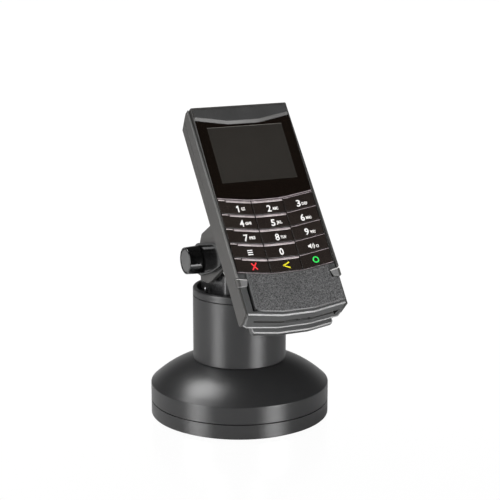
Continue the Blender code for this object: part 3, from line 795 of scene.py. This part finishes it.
def build_case():
    """Rear cover, front frame, head band, window, key plate, and two pale strips that are painted highlight
    lines above and below the keys.
    """
    rings = case_rings((0.8, -14.2), (0.4, -14.1), (0.1, -13.8), (0.0, -13.4), (0.0, -10.95), (0.25, -10.7))
    shell = carve(stack(rings), FACE, [minus(block((-31.0, 31.0), (-41.2, 61.0), (-12.6, 0)), FACE)])
    piece("back_shell", shell, None, "case", "terminal", "rear_cover")
    rings = case_rings((0.25, -10.4), (0.0, -10.15), (0.0, -2.9), (0.0, -1.0), (0.0, -0.35), (0.09, -0.12),
                       (0.25, 0.0))
    low = dip(-42.55, 3.1, -32.3, 32.3, GLASS_HALF, 0.5, 20)
    pocket = low + [(32.3, 62.0), (-32.3, 62.0)]
    recess = rounded([(-32.3, 55, 0), (32.3, 55, 0), (32.3, 67.0, 0.5), (31.4, 67.8, 0.5), (-31.4, 67.8, 0.5),
                      (-32.3, 67.0, 0.5)], 3)
    tools = [minus(stack([(pocket, -4.2), (pocket, 5)]), FACE),
             minus(stack([(recess, -2.5), (recess, 5)]), FACE),
             minus(block((-31.0, 31.0), (-41.2, 62.0), (-20, -3.0)), FACE)]
    shell = carve(stack(rings), FACE, tools)
    # Side faces of the front frame in the narrow gap to the cradle walls are painted dark as shade
    tint_faces(shell, FACE, 1, lambda c, a: abs(a.x) > 0.7 and abs(c.x) > 32.5 and c.y < 60.0)
    piece("front_shell", shell, None, ["case", "painted_shade"], "terminal", "front_frame")
    rings = [(band_points(60.4, 0), -2.2), (band_points(60.4, 0), -0.95), (band_points(60.55, 0), -0.7),
             (band_points(62.15, -0.02), 0.32), (band_points(62.4, -0.1), 0.46),
             (band_points(62.7, -0.3), 0.5)]
    # Bands 2 and 3, the chamfer, take the lighter, smoother case plastic; its lighter colour is a painted
    # highlight
    piece("brow_band", stack(rings, paint={2: 1, 3: 1}), FACE, ["band", "case"], "terminal",
          "head_band", sharp=26)
    top = dip(60.1, 4.0, GLASS_HALF, -GLASS_HALF, GLASS_HALF, 1.0, 24)
    low = dip(KEY_TOP_V + 0.3, KEY_DROP, -GLASS_HALF, GLASS_HALF, GLASS_HALF, 5.0, 24)
    pane = low + top
    view = [(-25.5 + 51.0 * k / 24, 16.2) for k in range(25)]
    view += [(25.5 - 51.0 * k / 24, 54.4) for k in range(25)]
    edge = [(u, v + (0.0 if v < 30 else 0.32)) for u, v in view]
    rings = rim(pane, -2.3, 0.1, -1, 1) + rim(pane, -0.3, 0.2, 1, 2) + [(edge, -0.3), (view, -0.3)]
    count = len(rings)
    piece("front_glass", stack(rings, paint={count - 2: 2, "top": 1}), FACE, ["glass", "lcd", "lcd_edge"],
          "terminal", "display_window")
    low = dip(-42.0, KEY_DROP, -31.8, 31.8, GLASS_HALF, 5.0, 24)
    top = dip(KEY_TOP_V - 0.6, KEY_DROP, 31.8, -31.8, GLASS_HALF, 5.0, 24)
    piece("key_mat", stack(plate(low + top, -3.9, -3.2, 0.1, 0.15, 1)), FACE, "black", "terminal",
          "keypad_plate")
    # Two thin pale strips under the window and under the keys: painted highlight lines
    strip("glass_strip", -31.6, 31.9, KEY_TOP_V + 0.62, 0.55, (-0.3, 0.2), "bar_dim", "terminal")
    strip("bezel_strip", -32.0, 32.0, -42.62, 0.34, (-0.1, 0.28), "bar_dim", "terminal")


def band_points(edge, grow):
    """Outline of the head band for a height of its lower edge."""
    low = dip(edge, 4.0, -32.0 - grow, 32.0 + grow, GLASS_HALF, 1.0, 30)
    top = [(32.0 + grow, 66.7 + grow, 0.6), (31.2 + grow, 67.5 + grow, 0.6), (-31.2 - grow, 67.5 + grow, 0.6),
           (-32.0 - grow, 66.7 + grow, 0.6)]
    return rounded(low + top, 4)


def strip(name, u0, u1, v_end, width, depth, mat, body):
    """Thin rounded bar that follows the dip of the key rows."""
    low = dip(v_end - width / 2, KEY_DROP, u0, u1)
    top = dip(v_end + width / 2, KEY_DROP, u1, u0)
    r = min(width * 0.4, 0.22)
    piece(name, stack([(low + top, depth[0])] + rim(low + top, depth[1], r, 1, 3)), FACE, mat, body)


# ---------------------------------------------------------------- reader

def block(u, v, n, r=0.0):
    """Box in face coordinates."""
    points = [(u[0], v[0]), (u[1], v[0]), (u[1], v[1]), (u[0], v[1])]
    return stack(plate(points, n[0], n[1], r, r, 2)) if r else stack([(points, n[0]), (points, n[1])])


def reader_outline(low_v, drop, n, grow=0.0):
    """Outline of the reader body at one depth; its lower corners are cut more towards the back."""
    half = CASE_HALF - grow
    cut = 0.3 + 0.16 * -n
    low = dip(low_v, drop, -half + cut, half - cut, CASE_HALF, 0.8, 30)
    top = dip(-43.1 - grow, 3.1, half, -half, GLASS_HALF, 0.5, 24)
    corner = low_v + 0.4 + 0.09 * -n
    return [(-half, corner)] + low + [(half, corner)] + top


def build_reader():
    """Reader body with its card slot, grained hood and contact block."""
    steps = ((-73.0, 2.8, -12.2, 0.35), (-73.3, 2.8, -12.1, 0.1), (-73.5, 2.8, -11.8, 0.0),
             (-73.5, 2.8, -11.55, 0.0), (-72.9, 2.85, -11.15, 0.0), (-72.75, 2.85, -10.9, 0.0),
             (-69.95, 3.25, -1.2, 0.0), (-69.8, 3.27, -0.75, 0.0), (-69.15, 3.3, -0.33, 0.06),
             (-69.0, 3.3, -0.22, 0.2), (-68.8, 3.3, -0.2, 0.4))
    rings = [(reader_outline(low_v, drop, n, grow), n) for low_v, drop, n, grow in steps]
    cuts = [block((-40, 40), (-45.7, -20), (-20, -4.9)), block((-27.4, 27.4), (-90, -52), (-7.45, -5.95)),
            block((-14, 14), (-64, -48.5), (-20, -7.0)), block((-28.9, -27.4), (-67.9, -47), (-3.6, 5)),
            block((-28.9, -23.5), (-68.2, -67.0), (-2.4, 5)),
            block((-7.5, 1.0), (-90, -66), (-8.0, -5.4)), block((3.0, 9.0), (-90, -66), (-8.0, -5.4))]
    tools = [minus(cut, FACE) for cut in cuts]
    notch = [(-5.4, 25.0), (-5.4, 29.9), (-9.4, 27.3)]
    tools.append(minus(stack([(notch, -90), (notch, -69.0)]), ALONG))
    shell = carve(stack(rings), FACE, tools)

    # Faces near the reader's lower front and back edges get the light painted highlight colour
    def on_lips(c, a):
        return c.y < -66 and (-0.78 < c.z < -0.2 or -11.7 < c.z < -11.05) and abs(c.x) < 32

    # Faces inside the card slot are painted dark as shade
    def in_slot(c, a):
        return -71.5 < c.y < -55 and -8.7 < c.z < -4.3 and a.y > -0.7 and abs(c.x) < 31

    tint_faces(shell, FACE, 1, on_lips)
    tint_faces(shell, FACE, 2, in_slot)
    piece("reader_body", shell, None, ["edge", "lip", "painted_shade"], "terminal", "reader_frame",
          sharp=24)
    chip = carve(block((-13.5, 13.5), (-63.5, -49), (-11.8, -7.8), 0.3), FACE,
                 [minus(block((-9.5 + 2.6 * k, -8.2 + 2.6 * k), (-62, -58), (-8.3, -5)), FACE)
                  for k in range(8)])
    piece("chip_contacts", chip, None, "black", "terminal", "contact_block")
    top = dip(-43.4, 3.1, -27.4, 27.4, GLASS_HALF, 4.0, 24)
    low = dip(-67.9, 3.25, 31.9, -22.4, CASE_HALF, 1.5, 24)
    pad = [(u, v, 0.0) for u, v in top]
    pad += [(27.4, -52.6, 0.6), (PAD_RIGHT, -52.6, 0.8), (PAD_RIGHT, -67.3, 0.8)]
    pad += [(u, v, 0.0) for u, v in low] + [(-27.2, -68.2, 3.4)]
    pad = rounded(pad, 6)
    rings = [(pad, 0.1), (pad, 1.15), (inset(pad, 0.05), 1.25), (inset(pad, 0.55), 1.6),
             (inset(pad, 0.8), 1.7)]
    piece("reader_pad", stack(rings, paint={2: 1}), FACE, ["grain", "edge"], "terminal",
          "reader_hood", sharp=30)


# ---------------------------------------------------------------- keypad

def printed(name, text, size, width, at, mat, body, bold):
    """Raised print on a key: text drawn as outlines and turned into a thin mesh."""
    curve = bpy.data.curves.new(name, "FONT")
    curve.body = text
    curve.size = size
    curve.align_x = "CENTER"
    curve.align_y = "CENTER"
    curve.offset = bold
    curve.extrude = PRINT_RISE
    curve.resolution_u = 3
    curve.space_character = 1.08
    holder = add_object(name, curve)
    bm = evaluated(holder)
    bpy.data.objects.remove(holder, do_unlink=True)
    bpy.data.curves.remove(curve)
    bmesh.ops.remove_doubles(bm, verts=bm.verts, dist=0.002)
    xs = [v.co.x for v in bm.verts]
    ys = [v.co.y for v in bm.verts]
    centred = Matrix.Translation((-(max(xs) + min(xs)) / 2, -(max(ys) + min(ys)) / 2, 0))
    fit = Matrix.Translation(at) @ Matrix.Diagonal((width / (max(xs) - min(xs)), 1, 1, 1)) @ centred
    piece(name, moved(bm, fit), FACE, mat, body, sharp=30)


def print_shape(name, outlines, at, mat, body):
    """Raised print from closed outlines about a centre."""
    parts = [stack([(points, -PRINT_RISE), (points, PRINT_RISE)]) for points in outlines]
    bm = moved(join(*parts), Matrix.Translation(at))
    piece(name, bm, FACE, mat, body, sharp=30)


def arc_band(centre, radius, width, start, end, steps=24):
    """Outline of an open band along an arc."""
    out, back = [], []
    for k in range(steps + 1):
        a = math.radians(start + (end - start) * k / steps)
        for side, r in ((out, radius + width / 2), (back, radius - width / 2)):
            side.append((centre[0] + r * math.cos(a), centre[1] + r * math.sin(a)))
    return out + back[::-1]


def stroke(a, b, width):
    """Outline of a straight stroke."""
    a, b = Vector(a), Vector(b)
    d = (b - a).normalized() * (width / 2)
    n = Vector((-d.y, d.x))
    return [tuple(a - d * 0.6 - n), tuple(b + d * 0.6 - n), tuple(b + d * 0.6 + n), tuple(a - d * 0.6 + n)]


KEY_NAMES = (("key_1", "key_2", "key_3"), ("key_4", "key_5", "key_6"), ("key_7", "key_8", "key_9"),
             ("key_menu", "key_0", "key_sound"), ("key_cancel", "key_correct", "key_ok"))
KEY_COLS = ((-32.0, -10.75), (-10.45, 10.45), (10.75, 32.0))
LETTERS = {"key_1": "QZ", "key_2": "ABC", "key_3": "DEF", "key_4": "GHI", "key_5": "JKL", "key_6": "MNO",
           "key_7": "PRS", "key_8": "TUV", "key_9": "WXY"}
KEY_FACE = 0.1
KEY_GAP = 0.3
BOTTOM_ROW = 4


def ring_outlines(centre, radius, width):
    """A ring as two half bands."""
    return [arc_band(centre, radius, width, 0, 180), arc_band(centre, radius, width, 180, 360)]


def build_marks(name, u, v, body):
    """Legend of one key."""
    z = KEY_FACE + PRINT_RISE
    if name in LETTERS:
        digit = name[-1]
        if digit == "1":
            one = [(0.75, -2.15), (0.75, 2.15), (0.1, 2.15), (-0.85, 1.45), (-0.85, 0.65), (-0.1, 1.1),
                   (-0.1, -2.15)]
            print_shape("digit_1", [one], (u, v, z), "white", body)
        else:
            printed(f"digit_{digit}", digit, 6.1, 2.75, (u, v, z), "white", body, 0.12)
        letters = LETTERS[name]
        printed(f"letters_{digit}", letters, 2.5, 1.25 * len(letters) + 0.1,
                (u + 2.2 + 0.65 * len(letters), v - 0.35, z), "letters", body, 0.12)
    elif name == "key_0":
        printed("digit_0", "0", 6.1, 2.7, (u, v, z), "white", body, 0.13)
    elif name == "key_menu":
        bars = [stroke((-1.45, y), (1.45, y), 0.62) for y in (-1.35, 0.0, 1.35)]
        print_shape("mark_menu", bars, (u + 0.1, v, z), "white", body)
    elif name == "key_sound":
        cone = [(-2.0, -0.65), (-1.1, -0.65), (0.1, -1.7), (0.1, 1.7), (-1.1, 0.65), (-2.0, 0.65)]
        waves = [arc_band((-0.3, 0), 1.5, 0.45, -42, 42, 10), arc_band((-0.3, 0), 2.5, 0.45, -42, 42, 12)]
        print_shape("mark_sound", [cone] + waves, (u, v, z), "letters", body)
        print_shape("mark_dot", ring_outlines((0, 0), 0.75, 0.4), (u + 4.3, v - 0.3, z), "letters", body)
    elif name == "key_cancel":
        lines = [stroke((-1.5, -2.0), (1.5, 2.0), 0.8), stroke((-1.5, 2.0), (1.5, -2.0), 0.8)]
        print_shape("mark_cancel", lines, (u + 0.3, v, z), "red", body)
    elif name == "key_correct":
        lines = [stroke((2.0, 1.75), (-2.0, 0.0), 0.8), stroke((-2.0, 0.0), (2.0, -1.75), 0.8)]
        print_shape("mark_correct", lines, (u + 0.6, v, z), "yellow", body)
    else:
        print_shape("mark_ok", ring_outlines((0, 0), 1.75, 0.85), (u + 0.5, v, z), "green", body)


def build_keys():
    """Fifteen keys with their legends, and pale lips, ridges and dashes along their top edges that are
    painted highlights, dim and thin in the right column where the highlight is weaker.
    """
    for row, names in enumerate(KEY_NAMES):
        high = KEY_TOP_V - KEY_GAP / 2 - ROW_PITCH * row
        low = high - ROW_PITCH + KEY_GAP
        for col, (name, (u0, u1)) in enumerate(zip(names, KEY_COLS)):
            body = name + "_body"
            lower, upper = dip(low, KEY_DROP, u0, u1), dip(high, KEY_DROP, u1, u0)
            lower = [(u, v, 0.35 if k in (0, len(lower) - 1) else 0) for k, (u, v) in enumerate(lower)]
            upper = [(u, v, 0.35 if k in (0, len(upper) - 1) else 0) for k, (u, v) in enumerate(upper)]
            outline = inset(rounded(lower + upper, 3), 0.12)
            rings = [(inset(outline, 0.1), -2.4), (outline, -2.3)] + rim(outline, KEY_FACE, 0.22, 1, 3)
            piece("cap_" + name[4:], stack(rings), FACE, "key", body, name)
            start = -26.9 if col == 0 else u0 + 0.25
            end = u1 - 0.25
            # Pale bars along each key's top edge are painted highlights; the right column gets only a thin
            # dim one
            if col < 2:
                strip(f"lip_{name[4:]}", start, end, high - 0.42, 0.62, (0.0, 0.42), "bar_dim", body)
                strip(f"ridge_{name[4:]}", start, end, high - 1.14, 0.62, (0.0, 0.42), "bar", body)
            else:
                strip(f"lip_{name[4:]}", start, end, high - 0.3, 0.4, (0.0, 0.34), "bar_dim", body)
            if col == 0:
                strip(f"dash_{name[4:]}", -31.5, -27.5, high - 0.45, 0.55, (0.0, 0.38), "bar", body)
            middle = (u0 + u1) / 2 + (0.9 if col == 0 else -0.9 if col == 2 else 0)
            centre = (low + high) / 2 - fall(middle, KEY_DROP, GLASS_HALF,
                                             5.0) - (0.45 if row == BOTTOM_ROW else 1.0)
            build_marks(name, middle, centre, body)


# ---------------------------------------------------------------- kept CAD parts

def dress_nodes():
    """Materials and softened edges for the inner CAD parts that are kept."""
    dress = {"lcd_panel": "lcd", "main_board": "board", "battery": "cell", "antenna_coil": "copper",
             "speaker": "black"}
    for name, key in dress.items():
        obj = NODES[name]
        for mat_slot in obj.material_slots:
            mat_slot.material = M[key]
        edge = obj.modifiers.new("edge", "BEVEL")
        edge.width = 0.25 * MM
        edge.segments = 2
        edge.limit_method = "ANGLE"


build_stand()
build_head()
build_knob()
build_cradle()
build_case()
build_reader()
build_keys()
dress_nodes()


# ---------------------------------------------------------------- studio

# Camera: turn round the stand, level distance and height in metres, then the small pan and the downward tilt
CAMERA_TURN = 0.4326562
CAMERA_DISTANCE = 0.932806
CAMERA_HEIGHT = 0.327767
CAMERA_PAN = 0.0072657
CAMERA_DIP = 0.2311011
CAMERA_LENS = 107.94
AIM_HEIGHT = 0.09


def area_light(name, place, width, height, power):
    """Rectangular soft box pointed at the middle of the stand."""
    data = bpy.data.lights.new(name, "AREA")
    data.shape = "RECTANGLE"
    data.size = width
    data.size_y = height
    data.energy = power
    obj = add_object(name, data)
    obj.location = place
    obj.rotation_euler = (Vector((0, 0, AIM_HEIGHT)) - Vector(place)).to_track_quat("-Z", "Y").to_euler()


def polar(azimuth, elevation, distance):
    """Point at an angle round the stand: 0 faces the camera, positive to the camera's right."""
    a = CAMERA_TURN - math.radians(azimuth)
    e = math.radians(elevation)
    flat = distance * math.cos(e)
    return (-flat * math.sin(a), -flat * math.cos(a), AIM_HEIGHT + distance * math.sin(e))


def add_shaders(mat, one, other):
    """Sum of two shader nodes."""
    both = add_node(mat, "ShaderNodeAddShader")
    mat.node_tree.links.new(one.outputs[0], both.inputs[0])
    mat.node_tree.links.new(other.outputs[0], both.inputs[1])
    return both


def camera_mix(tree, lit, seen, out):
    """Puts out one shader where the camera looks and another for all other light."""
    path = tree.nodes.new("ShaderNodeLightPath")
    mix = tree.nodes.new("ShaderNodeMixShader")
    tree.links.new(path.outputs["Is Camera Ray"], mix.inputs[0])
    tree.links.new(lit.outputs[0], mix.inputs[1])
    tree.links.new(seen.outputs[0], mix.inputs[2])
    tree.links.new(mix.outputs[0], out.inputs["Surface"])


def floor_material():
    """White floor that the camera sees evenly lit, with a faint sheen, and that bounces less light back."""
    mat = bpy.data.materials.new("studio_floor")
    mat.use_nodes = True
    tree = mat.node_tree
    tree.nodes.clear()
    out = tree.nodes.new("ShaderNodeOutputMaterial")
    seen = add_shaders(mat, add_node(mat, "ShaderNodeEmission", Strength=0.97),
                       add_node(mat, "ShaderNodeBsdfGlossy", Color=(0.26, 0.26, 0.26, 1), Roughness=0.22))
    lit = add_shaders(mat, add_node(mat, "ShaderNodeBsdfDiffuse", Color=(0.5, 0.5, 0.5, 1)),
                      add_node(mat, "ShaderNodeBsdfGlossy", Color=(0.55, 0.55, 0.55, 1), Roughness=0.2))
    camera_mix(tree, lit, seen, out)
    return mat


def build_studio():
    """Floor, world, soft boxes and camera."""
    bm = bmesh.new()
    bmesh.ops.create_circle(bm, cap_ends=True, radius=4.0, segments=64)
    mesh = bpy.data.meshes.new("studio_floor")
    bm.to_mesh(mesh)
    bm.free()
    floor = add_object("studio_floor", mesh)
    floor.location = (0, 0, -0.0002)
    mesh.materials.append(floor_material())

    world = bpy.data.worlds.new("studio")
    bpy.context.scene.world = world
    world.use_nodes = True
    tree = world.node_tree
    tree.nodes.clear()
    out = tree.nodes.new("ShaderNodeOutputWorld")
    seen = add_node(world, "ShaderNodeBackground", Color=(1, 1, 1, 1), Strength=1.0)
    coord = add_node(world, "ShaderNodeTexCoord")
    split = add_node(world, "ShaderNodeSeparateXYZ", Vector=coord.outputs["Generated"])
    fade = span(world, split.outputs["Z"], 0.0, 0.4, 0.52, 0.04)
    lit = add_node(world, "ShaderNodeBackground", Color=(1, 1, 1, 1), Strength=fade)
    camera_mix(tree, lit, seen, out)

    area_light("soft_left", polar(-54, 14, 0.85), 0.36, 0.68, 7.0)
    area_light("soft_right", polar(44, 10, 0.85), 0.34, 0.5, 6.2)
    area_light("soft_back", polar(-112, 61, 0.9), 0.42, 0.42, 5.5)

    data = bpy.data.cameras.new("view")
    data.lens = CAMERA_LENS
    data.sensor_width = 36.0
    data.clip_start = 0.01
    camera = add_object("view", data)
    camera.location = (-CAMERA_DISTANCE * math.sin(CAMERA_TURN), -CAMERA_DISTANCE * math.cos(CAMERA_TURN),
                       CAMERA_HEIGHT)
    camera.rotation_euler = (math.pi / 2 - CAMERA_DIP, 0, -(CAMERA_TURN + CAMERA_PAN))
    bpy.context.scene.camera = camera
    bpy.context.scene.view_settings.view_transform = "Standard"


build_studio()
